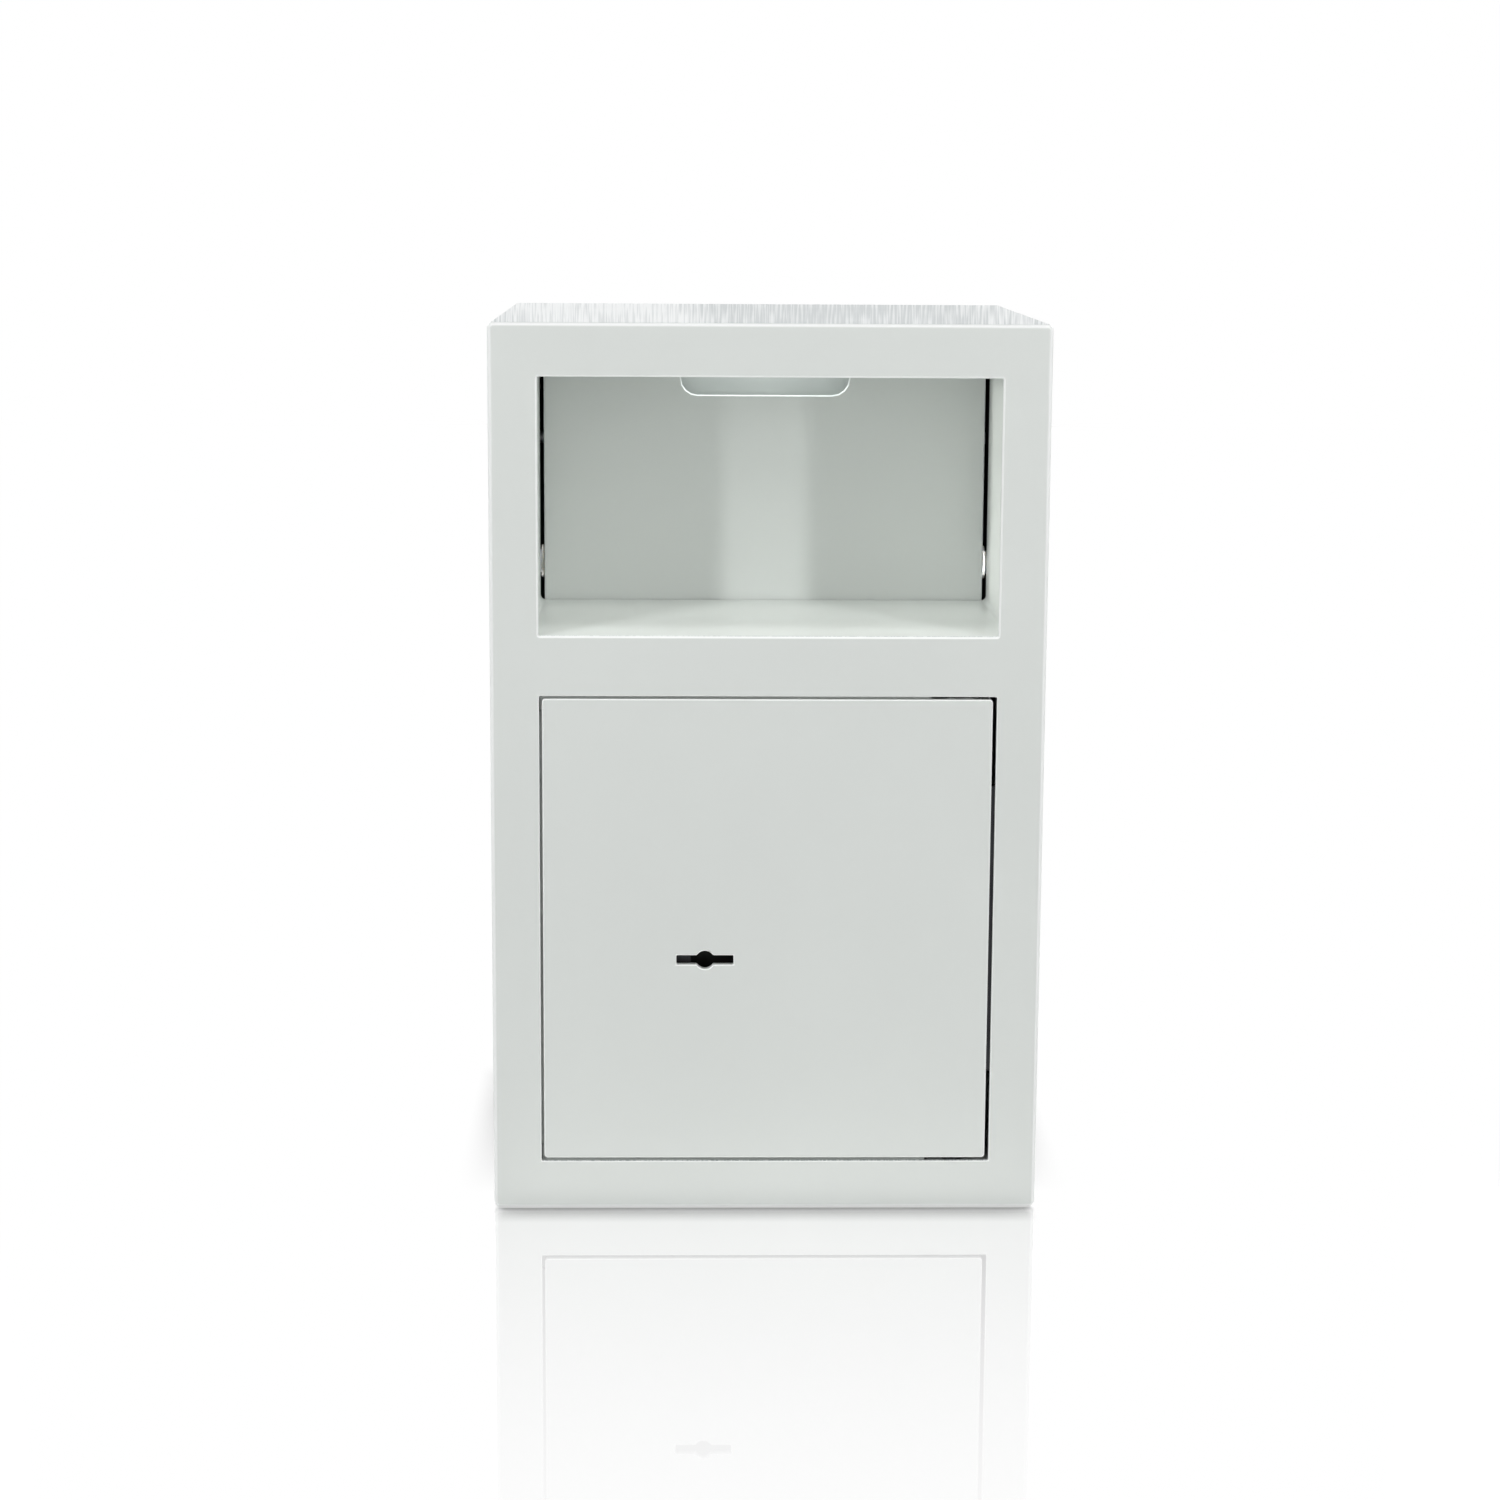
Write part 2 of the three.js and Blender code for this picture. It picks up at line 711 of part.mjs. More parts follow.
// Drawn for the upper corner: the leg's lower face lies at the given height
function hingeBracket(face, direction) {
  const leg = face + direction * (bracketThickness / 2);
  const tip = face - direction * bracketTab;
  const section = [[hingeX - bracketOverhang, leg], [tabX, leg], [tabX, tip]];
  const body = alongY(foldedSection(section, bracketThickness, 1.5), wall, wall + bracketDepth);
  const hole = rod(pinHole, face - 10, face + 10, 24, '+Z', hingeX, hingeBack, 0);
  return cut(body, [hole]);
}

const upperFace = doorwayTop + bracketLift;
const lowerFace = doorwayBottom - bracketLift;
const washerStack = hingeWasherThickness + 2 * fit;

function hingeWasher(z) {
  return ring(pinHole, hingeWasherDiameter / 2, z, z + hingeWasherThickness, '+Z', hingeX, hingeBack, 0);
}

function hingeKnuckle(from, to) {
  const arc = arcPoints(hingeX, hingeBack, knuckleRadius, 0, 180);
  const corners = [
    new THREE.Vector2(hingeX - knuckleRadius, doorThickness),
    new THREE.Vector2(hingeX + knuckleRadius, doorThickness),
  ];
  const shape = new THREE.Shape([...corners, ...arc]);
  shape.holes.push(new THREE.Path().absarc(hingeX, hingeBack, pinHole, 0, 2 * Math.PI, true));
  return alongZ(shape, from, to);
}

function hingePinBetween(from, to) {
  const radius = hingePin / 2;
  const profile = [
    [0, from], [radius - 1, from], [radius, from + 1],
    [radius, to - 1], [radius - 1, to], [0, to],
  ];
  return turned(profile, '+Z', hingeX, hingeBack, 0);
}

// Door

function doorPlate() {
  const sections = roundFront(
    doorLeft, doorRight, doorBottom, doorTop, doorEdgeRadius, doorCornerRadius, doorThickness, false
  );
  const body = lofted(sections);
  return cut(body, [alongY(keyholeOutline(0), -1, doorThickness + 1)]);
}

// The keyhole of a double-bit key: a round hole with a slot to both sides
function keyholeOutline(margin) {
  const half = keySlotHeight / 2 + margin;
  const radius = keyDiameter / 2 + margin;
  const reach = keySlotLength / 2 + margin;
  const meet = THREE.MathUtils.radToDeg(Math.asin(half / radius));
  return new THREE.Shape([
    new THREE.Vector2(keyX + reach, keyZ - half),
    new THREE.Vector2(keyX + reach, keyZ + half),
    ...arcPoints(keyX, keyZ, radius, meet, 180 - meet, 12),
    new THREE.Vector2(keyX - reach, keyZ + half),
    new THREE.Vector2(keyX - reach, keyZ - half),
    ...arcPoints(keyX, keyZ, radius, 180 + meet, 360 - meet, 12),
  ]);
}

function hingeDog() {
  const x0 = doorRight - dogLap;
  const x1 = openingHalf + dogReach;
  const outline = rectangle(x0, x1, doorBottom + dogInset, doorTop - dogInset, dogCorner);
  return alongY(outline, doorThickness, doorThickness + dogThickness);
}

// The angle with the bolt holes, on the closing edge of the door
function boltGuide() {
  const x = guideX + guideSheet / 2;
  const foot = doorThickness + guideSheet / 2;
  const section = [[x, boltY + boltDiameter / 2 + barHeadroom], [x, foot], [guideX + guideFoot, foot]];
  const from = lowerBoltZ - guideMargin;
  const to = upperBoltZ + guideMargin;
  const holes = [lowerBoltZ, upperBoltZ].map((z) =>
    rod(boltDiameter / 2 + boreFit, guideX - 1, guideX + guideSheet + 1, 32, '+X', 0, boltY, z)
  );
  return cut(alongZ(foldedSection(section, guideSheet, 1), from, to), holes);
}

// Lock: a shallow case on the door's inner face, its cover and four screws

const lockX0 = keyX - lockLeft;
const lockX1 = keyX + lockRight;
const lockZ0 = keyZ - lockHalfHeight;
const lockZ1 = keyZ + lockHalfHeight;
const lockScrewPlaces = [lockX0 + lockScrewInset, lockX1 - lockScrewInset].flatMap((x) => [
  [x, lockZ0 + lockScrewInset],
  [x, lockZ1 - lockScrewInset],
]);

function lockCase() {
  const outside = alongY(rectangle(lockX0, lockX1, lockZ0, lockZ1, lockCorner), doorThickness, lockBack);
  const inside = rectangle(
    lockX0 + lockSheet, lockX1 - lockSheet, lockZ0 + lockSheet, lockZ1 - lockSheet, lockCorner - lockSheet
  );
  const hollow = alongY(inside, doorThickness + lockSheet, lockBack + 1);
  const keyway = alongY(keyholeOutline(0.5), doorThickness - 1, doorThickness + lockSheet + 1);
  const reach = tongueHeight / 2 + fit;
  const thick = tongueThickness / 2 + fit;
  const mouth = block(
    lockX0 - 1, lockX0 + lockSheet + 1, boltY - thick, boltY + thick, keyZ - reach, keyZ + reach
  );
  const bores = lockScrewPlaces.map(([x, z]) =>
    rod(lockScrew / 2 + boreFit, doorThickness - 1, lockBack, 16, '+Y', x, 0, z)
  );
  return cut(outside, [hollow, keyway, mouth, ...bores]);
}

function lockCover() {
  const shape = rectangle(lockX0, lockX1, lockZ0, lockZ1, lockCorner);
  for (const [x, z] of lockScrewPlaces) {
    shape.holes.push(new THREE.Path().absarc(x, z, lockScrew / 2 + boreFit, 0, 2 * Math.PI, true));
  }
  return alongY(shape, lockBack, lockBack + lockSheet);
}

function lockScrews() {
  const radius = lockScrew / 2;
  const seat = lockBack + lockSheet + fit;
  const profile = [
    [0, doorThickness + fit], [radius, doorThickness + fit], [radius, seat], [radius * 1.8, seat],
    [radius * 1.8, seat + radius * 0.6], [radius * 1.2, seat + radius * 1.1], [0, seat + radius * 1.2],
  ];
  return lockScrewPlaces.map(([x, z], i) =>
    part(`lock_screw_${i + 1}`, turned(profile, '+Y', x, 0, z, 16), zinc)
  );
}

// Boltwork: the carrier bar, two round bolts with their nuts, and the lock's tongue

const studX = barX + barSheet + barWeb + guideStudBase;
const countersink = tongueScrew / 2 + 2;

function boltBar() {
  const x = barX + barSheet / 2;
  const back = barWebY + barSheet / 2;
  const section = [[x, boltY - boltDiameter / 2 - 0.5], [x, back], [barX + barArm, back]];
  const from = lowerBoltZ - barArmHeight / 2 - barMargin;
  const to = upperBoltZ + barArmHeight / 2 + barMargin;
  const bar = alongZ(foldedSection(section, barSheet, 1.5), from, to);
  const deep = [barWebY - 1, barWebY + barSheet + 1];
  const armEdge = barArmHeight / 2;
  const window = rectangle(
    barX + barSheet + barWeb, barX + barArm + 10, lowerBoltZ + armEdge, upperBoltZ - armEdge, 4
  );
  const cutters = [alongY(window, ...deep)];
  for (const z of [lowerBoltZ, upperBoltZ]) {
    const half = guideStud / 2 + boreFit;
    const slot = rectangle(studX - half, studX + boltThrow + half, z - half, z + half, half);
    cutters.push(alongY(slot, ...deep));
    cutters.push(rod(boltSpigot / 2 + boreFit, barX - 1, barX + barSheet + 1, 24, '+X', 0, boltY, z));
  }
  cutters.push(turned(tongueScrewProfile(boreFit, 5), '+X', barX, boltY, keyZ));
  return cut(bar, cutters);
}

function lockingBolt(z) {
  const tip = guideX - fit - barX;
  const radius = boltDiameter / 2;
  const spigot = boltSpigot / 2;
  const end = barSheet + fit + boltNutHeight + 1;
  const profile = [[0, tip], [radius - boltChamfer, tip], [radius, tip + boltChamfer], [radius, -fit],
    [spigot, -fit], [spigot, end - 1], [spigot - 1, end], [0, end]];
  return turned(profile, '+X', barX, boltY, z, 32);
}

function boltNut(z) {
  const nut = alongZ(hexagon(boltNutAcross, boltSpigot + 2 * boreFit), 0, boltNutHeight);
  nut.rotateY(Math.PI / 2);
  return nut.translate(barX + barSheet + fit, boltY, z);
}

// A countersunk screw, head first: the head's face lies at zero and the shank runs forward
function tongueScrewProfile(grow, length) {
  const shank = tongueScrew / 2 + grow;
  const head = countersink + grow;
  const start = grow > 0 ? -1 : fit;
  const seat = grow > 0 ? 0 : fit;
  const neck = countersink - tongueScrew / 2 + fit;
  return [[0, start], [head, start], [head, seat], [shank, neck], [shank, length], [0, length]];
}

function lockTongue() {
  const x0 = barX + barSheet + fit;
  const x1 = lockX0 + lockSheet + tongueTail;
  const half = tongueHeight / 2;
  const thick = tongueThickness / 2;
  const body = block(x0, x1, boltY - thick, boltY + thick, keyZ - half, keyZ + half);
  const bore = rod(tongueScrew / 2 + boreFit, x0 - 1, x0 + 14, 20, '+X', 0, boltY, keyZ);
  return cut(body, [bore]);
}

function screwInTongue() {
  return turned(tongueScrewProfile(0, barSheet + 12), '+X', barX, boltY, keyZ, 20);
}

function guideStudAt(z) {
  const base = guideStudBase / 2;
  const neck = guideStud / 2;
  const top = barWebY - fit;
  const end = barWebY + barSheet + 2 * fit + guideNutHeight + 1;
  const profile = [[0, doorThickness], [base, doorThickness], [base, top], [neck, top], [neck, end - 1],
    [neck - 1, end], [0, end]];
  return turned(profile, '+Y', studX, 0, z);
}

function guideNut(z) {
  const nut = alongZ(hexagon(guideNutAcross, guideStud + 2 * boreFit), 0, guideNutHeight);
  nut.rotateX(-Math.PI / 2);
  return nut.translate(studX, barWebY + barSheet + 2 * fit, z);
}

// The assembly

function bodyGroup() {
  const group = new THREE.Group();
  group.add(
    part('body_shell', bodyShell(), paint),
    part('back_plate', backPlate(), paint),
    part('door_stop_left', doorStopLeft(), paint),
    part('door_stop_top', doorStopTop(), paint),
    part('door_stop_bottom', doorStopBottom(), paint),
    part('hinge_bracket_upper', hingeBracket(upperFace, 1), paint),
    part('hinge_bracket_lower', hingeBracket(lowerFace, -1), paint),
    part('hinge_washer_upper', hingeWasher(upperFace - fit - hingeWasherThickness), brass),
    part('hinge_washer_lower', hingeWasher(lowerFace + fit), brass),
    ...anchorPlugs()
  );
  return group;
}

// The fixed plates of the deposit recess, which stand a little to the right of the opening's middle
function recessGroup() {
  const group = new THREE.Group();
  group.add(
    part('recess_tray', recessTray(), paint),
    part('hopper_ceiling', hopperCeiling(), paint),
    part('rear_shield', rearShield(), innerPaint),
    ...pair('hopper_side', hopperSide(), innerPaint),
    ...pair('pivot_stud', pivotStud(), zinc),
    ...pair('pivot_washer', pivotWasher(), nylon),
    ...pair('pivot_nut', pivotNut(), zinc),
    ...pair('stop_stud', stopStud(), zinc)
  );
  group.position.x = recessOffset;
  return group;
}

function hopperGroup() {
  const group = new THREE.Group();
  group.position.x = recessOffset;
  group.add(
    part('hopper_panel', hopperPanel(), paint),
    part('grip_cup', gripCup(), paint),
    part('hopper_baffle', hopperBaffle(), paint),
    ...pair('hopper_cheek', hopperCheek(), paint)
  );
  return group;
}

function doorGroup() {
  const group = new THREE.Group();
  const upperKnuckle = upperFace - washerStack;
  const lowerKnuckle = lowerFace + washerStack;
  const pinEnd = bracketThickness + 2;
  const grip = knuckleHeight - 4;
  group.add(
    part('door_plate', doorPlate(), paint),
    part('hinge_knuckle_upper', hingeKnuckle(upperKnuckle - knuckleHeight, upperKnuckle), paint),
    part('hinge_knuckle_lower', hingeKnuckle(lowerKnuckle, lowerKnuckle + knuckleHeight), paint),
    part('hinge_pin_upper', hingePinBetween(upperKnuckle - grip, upperFace + pinEnd), steel),
    part('hinge_pin_lower', hingePinBetween(lowerFace - pinEnd, lowerKnuckle + grip), steel),
    part('hinge_dog', hingeDog(), steel),
    part('bolt_guide', boltGuide(), paint),
    part('guide_stud_lower', guideStudAt(lowerBoltZ), zinc),
    part('guide_stud_upper', guideStudAt(upperBoltZ), zinc),
    part('guide_nut_lower', guideNut(lowerBoltZ), zinc),
    part('guide_nut_upper', guideNut(upperBoltZ), zinc),
    part('lock_case', lockCase(), zinc),
    part('lock_cover', lockCover(), zinc),
    ...lockScrews()
  );
  return group;
}

function boltworkGroup() {
  const group = new THREE.Group();
  group.add(
    part('bolt_bar', boltBar(), zinc),
    part('locking_bolt_lower', lockingBolt(lowerBoltZ), steel),
    part('locking_bolt_upper', lockingBolt(upperBoltZ), steel),
    part('bolt_nut_lower', boltNut(lowerBoltZ), zinc),
    part('bolt_nut_upper', boltNut(upperBoltZ), zinc),
    part('lock_tongue', lockTongue(), steel),
    part('tongue_screw', screwInTongue(), zinc)
  );
  return group;
}

const safe = new THREE.Group();
safe.add(bodyGroup(), recessGroup(), hopperGroup(), doorGroup(), boltworkGroup());
safe.position.set(0, -depth / 2, 0);

export default safe;
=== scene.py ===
# Look of the deposit safe: camera, studio, finishes and the fine edges of its pieces.
# Lengths are in metres.

import json
import math

import bpy
from mathutils import Matrix, Vector


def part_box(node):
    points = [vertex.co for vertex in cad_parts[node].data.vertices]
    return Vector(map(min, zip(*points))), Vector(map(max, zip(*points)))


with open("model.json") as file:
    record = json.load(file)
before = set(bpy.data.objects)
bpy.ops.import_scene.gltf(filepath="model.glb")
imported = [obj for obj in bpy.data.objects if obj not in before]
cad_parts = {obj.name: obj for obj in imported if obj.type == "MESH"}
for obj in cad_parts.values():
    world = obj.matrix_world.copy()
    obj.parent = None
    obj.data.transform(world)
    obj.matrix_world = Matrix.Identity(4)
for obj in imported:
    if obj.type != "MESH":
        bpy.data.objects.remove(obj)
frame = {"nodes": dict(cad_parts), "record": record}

scene = bpy.context.scene
nodes = frame["nodes"]
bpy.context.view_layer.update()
shell_low, shell_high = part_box("body_shell")
front_y = shell_low.y
half_width = shell_high.x

# Camera: fitted to the edges of the photograph

IMAGE_SIZE = 1500
FOCAL_PX = 3157.788
PITCH = math.radians(10.052)
YAW = math.radians(-1.295)
ROLL = math.radians(0.335)
CAMERA_PLACE = Vector((-0.049353, -1.881361, 0.574288))
SENSOR_MM = 36.0
NEAREST_SEEN = 0.05
FARTHEST_SEEN = 50.0


def make_camera():
    level = Vector((-math.sin(YAW), math.cos(YAW), 0.0))
    side = Vector((math.cos(YAW), math.sin(YAW), 0.0))
    up = Vector((0.0, 0.0, 1.0))
    ahead = level * math.cos(PITCH) - up * math.sin(PITCH)
    above = up * math.cos(PITCH) + level * math.sin(PITCH)
    right = side * math.cos(ROLL) + above * math.sin(ROLL)
    top = above * math.cos(ROLL) - side * math.sin(ROLL)
    data = bpy.data.cameras.new("camera")
    data.sensor_width = SENSOR_MM
    data.lens = FOCAL_PX * SENSOR_MM / IMAGE_SIZE
    data.clip_start = NEAREST_SEEN
    data.clip_end = FARTHEST_SEEN
    camera = bpy.data.objects.new("camera", data)
    scene.collection.objects.link(camera)
    turn = Matrix((right, top, -ahead)).transposed().to_4x4()
    camera.matrix_world = Matrix.Translation(CAMERA_PLACE) @ turn
    scene.camera = camera


# Node helpers

# The range that most of a noise lies in
NOISE_LOW = 0.3
NOISE_HIGH = 0.7
# The largest of a direction's three values, on a square face and in the middle of a rounded edge
FLAT_AXIS = 0.985
BENT_AXIS = 0.88


class Nodes:
    """Builds one node tree, with a method for each kind of node."""

    def __init__(self, tree):
        self.tree = tree
        tree.nodes.clear()

    def add(self, kind, inputs=None, **settings):
        node = self.tree.nodes.new(kind)
        for key, value in settings.items():
            setattr(node, key, value)
        for key, value in (inputs or {}).items():
            self.put(node.inputs[key], value)
        return node

    def put(self, socket, value):
        """Links an output to the socket, or sets the socket to a plain value."""
        if isinstance(value, bpy.types.NodeSocket):
            self.tree.links.new(value, socket)
        else:
            socket.default_value = value

    def math(self, operation, first, second=0.0):
        return self.add("ShaderNodeMath", {0: first, 1: second}, operation=operation).outputs[0]

    def largest(self, first, *others):
        for other in others:
            first = self.math("MAXIMUM", first, other)
        return first

    def noise(self, vector, scale, detail=2.0, rough=0.5):
        inputs = {"Vector": vector, "Scale": scale, "Detail": detail, "Roughness": rough}
        return self.add("ShaderNodeTexNoise", inputs).outputs["Fac"]

    def stretch(self, vector, amounts):
        return self.add("ShaderNodeVectorMath", {0: vector, 1: amounts}, operation="MULTIPLY").outputs[0]

    def fit(self, value, low, high, to_low=0.0, to_high=1.0, smooth=False):
        """Maps low to to_low and high to to_high, and holds the ends beyond them."""
        inputs = {"Value": value, 1: low, 2: high, 3: to_low, 4: to_high}
        node = self.add("ShaderNodeMapRange", inputs)
        node.interpolation_type = "SMOOTHSTEP" if smooth else "LINEAR"
        return node.outputs[0]

    def fit_noise(self, noise, to_low=0.0, to_high=1.0):
        """Maps the range from NOISE_LOW to NOISE_HIGH."""
        return self.fit(noise, NOISE_LOW, NOISE_HIGH, to_low, to_high)

    def mix(self, factor, first, second):
        """Mixes two colours, which are inputs 6 and 7 and output 2 of a node with sockets for all types."""
        node = self.add("ShaderNodeMix", data_type="RGBA", blend_type="MIX", clamp_factor=True)
        self.put(node.inputs[0], factor)
        self.put(node.inputs[6], first)
        self.put(node.inputs[7], second)
        return node.outputs[2]

    def bump(self, height, strength, distance, normal=None):
        node = self.add("ShaderNodeBump", {"Height": height, "Strength": strength, "Distance": distance})
        if normal is not None:
            self.put(node.inputs["Normal"], normal)
        return node.outputs[0]

    def place(self):
        return self.add("ShaderNodeTexCoord").outputs["Object"]

    def split(self, vector):
        """A vector's three values."""
        node = self.add("ShaderNodeSeparateXYZ", {0: vector})
        return [node.outputs[axis] for axis in ("X", "Y", "Z")]

    def facing(self):
        """The surface's direction in the piece's own axes, as three values."""
        return self.split(self.add("ShaderNodeTexCoord").outputs["Normal"])

    def edge(self):
        """1 on the rounded edges between square faces, 0 on the faces."""
        squareness = self.largest(*[self.math("ABSOLUTE", value) for value in self.facing()])
        return self.fit(squareness, FLAT_AXIS, BENT_AXIS)

    def seen(self):
        """1 where the camera sees the surface itself, or in metal or glass, and 0 where it only lights."""
        rays = self.add("ShaderNodeLightPath").outputs
        return self.largest(rays["Is Camera Ray"], rays["Is Glossy Ray"], rays["Is Transmission Ray"])

    def blend(self, factor, first, second):
        """Mixes two shaders."""
        inputs = {0: factor, 1: first.outputs[0], 2: second.outputs[0]}
        return self.add("ShaderNodeMixShader", inputs)

    def principled(self, **inputs):
        named = {key.replace("_", " "): value for key, value in inputs.items()}
        self.finish(self.add("ShaderNodeBsdfPrincipled", named))

    def finish(self, shader):
        self.add("ShaderNodeOutputMaterial", {"Surface": shader.outputs[0]})


def new_material(name):
    material = bpy.data.materials.new(name)
    material.use_nodes = True
    return material, Nodes(material.node_tree)


def linear(red, green, blue):
    """A colour given as it looks on the screen, from 0 to 255."""
    def one(value):
        value /= 255.0
        return value / 12.92 if value <= 0.04045 else ((value + 0.055) / 1.055) ** 2.4
    return (one(red), one(green), one(blue), 1.0)


def shade(colour, factor):
    """A colour made darker, or lighter up to full."""
    return tuple(min(1.0, channel * factor) for channel in colour[:3]) + (1.0,)


# Finishes: a noise's scale is roughly how many of its features fit in a metre

WHITE = (1.0, 1.0, 1.0, 1.0)
PAINT = linear(217, 221, 218)
# Lighter colours on the rounded edges of the shell and of the door and panel: painted highlights
PAINT_EDGE_HIGHLIGHT = linear(246, 248, 247)
PANEL_EDGE_HIGHLIGHT = linear(251, 253, 252)
# The top's colour runs between these two: a painted reflection
SHEEN_STREAK_DARK = linear(182, 189, 190)
SHEEN_STREAK_LIGHT = linear(246, 249, 249)
# Dark grey on the hidden inner pieces: painted shade, so that the gaps to them look black
INNER_SHADE_GREY = linear(62, 64, 62)
ZINC = (0.72, 0.74, 0.76, 1.0)
STEEL = (0.5, 0.51, 0.52, 1.0)
BLACK_STEEL = (0.06, 0.06, 0.065, 1.0)
BRASS = (0.62, 0.47, 0.2, 1.0)
BLACK_PLASTIC = (0.02, 0.02, 0.022, 1.0)
NYLON = linear(240, 240, 236)
# Near-black painted shade on the lock faces seen through the keyhole
KEYHOLE_SHADE = (0.008, 0.008, 0.009, 1.0)
KEYHOLE_SHADE_LIGHTER = (0.015, 0.014, 0.013, 1.0)

COAT_ROUGHNESS = 0.3
COAT_PEEL = 0.05
COAT_VARIATION = 0.012
DRIFT_SCALE = 6.0
DRIFT_LOW = 0.15
DRIFT_HIGH = 0.85
PAINT_GRAIN_SCALE = 1400.0
PEEL_SCALE = 420.0
PEEL_HEIGHT = 0.0006
SPECK_SCALE = 1900.0
SPECK_SHARE = 0.6
FINE_HEIGHT = 0.0002
METAL_CLOUD_SCALE = 60.0
METAL_GRAIN_SCALE = 900.0
FLAKE_SCALE = 500.0
WEAR_CLOUD_SCALE = 45.0
PLASTIC_SCALE = 1300.0
NYLON_SCALE = 700.0
TOOL_LINES_ALONG_X = (1500.0, 60.0, 60.0)
TOOL_LINES_ALONG_Z = (60.0, 60.0, 1500.0)


def sheet_paint(tree, place, colour, roughness=COAT_ROUGHNESS, peel=COAT_PEEL, variation=COAT_VARIATION):
    """What the coats share: a colour and a gloss that drift over the sheet, and a fine orange peel."""
    drift = tree.noise(place, DRIFT_SCALE, 3.0, 0.55)
    amount = tree.fit(drift, DRIFT_LOW, DRIFT_HIGH, smooth=True)
    base = tree.mix(amount, shade(colour, 1.0 - 2.0 * variation), shade(colour, 1.0 + variation))
    gloss = tree.fit(drift, DRIFT_LOW, DRIFT_HIGH, roughness - 0.03, roughness + 0.04, smooth=True)
    normal = tree.bump(tree.noise(place, PEEL_SCALE, 3.0), peel, PEEL_HEIGHT)
    normal = tree.bump(tree.noise(place, SPECK_SCALE), peel * SPECK_SHARE, FINE_HEIGHT, normal)
    return base, gloss, normal


def powder_coat(name, colour, roughness=COAT_ROUGHNESS, peel=COAT_PEEL, variation=COAT_VARIATION,
                edge=None):
    """Baked paint with a fine dark grain and, where an edge colour is given, painted highlights on the
    edges.
    """
    material, tree = new_material(name)
    place = tree.place()
    base, gloss, normal = sheet_paint(tree, place, colour, roughness, peel, variation)
    grain = tree.noise(place, PAINT_GRAIN_SCALE, 2.0, 0.6)
    base = tree.mix(tree.fit(grain, 0.35, 0.65, 0.0, 0.05), base, shade(colour, 1.0 - 2.0 * variation))
    if edge:
        # Painted highlight: the edge colour on the rounded edges
        base = tree.mix(tree.edge(), base, edge)
    tree.principled(Base_Color=base, Roughness=gloss, Normal=normal)
    return material


# Streaks on the top, a painted reflection in the colour over a fine bump: they run front to back and fan
# out from a point far in front of the safe

STREAK_CENTRE_X = -0.05
STREAK_CENTRE_Y = -1.89
FINE_STREAKS = (1500.0, 2.0, 1.0)
BROAD_STREAKS = (55.0, 3.0, 1.0)
STREAK_BUMP = 0.12
STREAK_HEIGHT = 0.0003
BROAD_CHANGE = (0.35, 0.65, -0.18, 0.18)
# How the painted reflection gets lighter or darker from side to side: two values of across, and what each
# adds
SHEEN_LEFT = (-0.008, 0.02, 0.55, -0.32)
SHEEN_RIGHT_CORNER = (0.065, 0.1, 0.0, 0.35)
DIM_SHEEN_LEFT_CORNER = (-0.04, -0.055, 0.0, -0.35)


def top_streaks_and_sheen(tree, place):
    """The fine lines on the top and their colour, a painted reflection in lighter and darker streaks.

    Across is the sideways place divided by the distance from the streaks' centre.
    """
    x, y, _ = tree.split(place)
    across = tree.math("DIVIDE", tree.math("SUBTRACT", x, STREAK_CENTRE_X),
                       tree.math("SUBTRACT", y, STREAK_CENTRE_Y))
    fan = tree.add("ShaderNodeCombineXYZ", {"X": across, "Y": y}).outputs[0]
    fine = tree.noise(tree.stretch(fan, FINE_STREAKS), 1.0, 1.0)
    broad = tree.noise(tree.stretch(fan, BROAD_STREAKS), 1.0, 2.0)
    sheen = tree.fit(fine, 0.38, 0.62)
    for part in (
        tree.fit(broad, *BROAD_CHANGE),
        tree.fit(across, *SHEEN_LEFT, smooth=True),
        tree.fit(across, *SHEEN_RIGHT_CORNER),
        tree.fit(across, *DIM_SHEEN_LEFT_CORNER),
    ):
        sheen = tree.math("ADD", sheen, part)
    return fine, tree.mix(tree.fit(sheen, 0.0, 1.2), SHEEN_STREAK_DARK, SHEEN_STREAK_LIGHT)


def shell_coat(name, colour, edge):
    """The paint of the shell, with streaks of painted reflection on its top and painted highlights on its
    edges.
    """
    material, tree = new_material(name)
    place = tree.place()
    base, gloss, normal = sheet_paint(tree, place, colour)
    on_top = tree.fit(tree.facing()[2], 0.9, 0.99)
    fine, top_sheen = top_streaks_and_sheen(tree, place)
    # Painted reflection: the streaked colour on the top
    base = tree.mix(on_top, base, top_sheen)
    # Painted highlight: the edge colour on the rounded edges
    base = tree.mix(tree.edge(), base, edge)
    normal = tree.bump(fine, tree.math("MULTIPLY", on_top, STREAK_BUMP), STREAK_HEIGHT, normal)
    tree.principled(Base_Color=base, Roughness=gloss, Normal=normal)
    return material


def zinc_sheet(tree, place):
    """What the zinc pieces share: a cloudy colour, the cloud itself, and a fine grain."""
    cloud = tree.noise(place, METAL_CLOUD_SCALE, 3.0, 0.6)
    base = tree.mix(tree.fit_noise(cloud), shade(ZINC, 0.82), ZINC)
    normal = tree.bump(tree.noise(place, METAL_GRAIN_SCALE), 0.08, FINE_HEIGHT)
    return base, cloud, normal


def plated(name):
    """Zinc plate on pressed steel: small bright flakes under a soft gloss."""
    material, tree = new_material(name)
    place = tree.place()
    base, cloud, normal = zinc_sheet(tree, place)
    flakes = tree.add("ShaderNodeTexVoronoi", {"Vector": place, "Scale": FLAKE_SCALE}).outputs["Distance"]
    gloss = tree.fit(tree.math("ADD", flakes, cloud), 0.3, 1.2, 0.22, 0.4)
    tree.principled(Base_Color=base, Metallic=1.0, Roughness=gloss, Normal=normal)
    return material


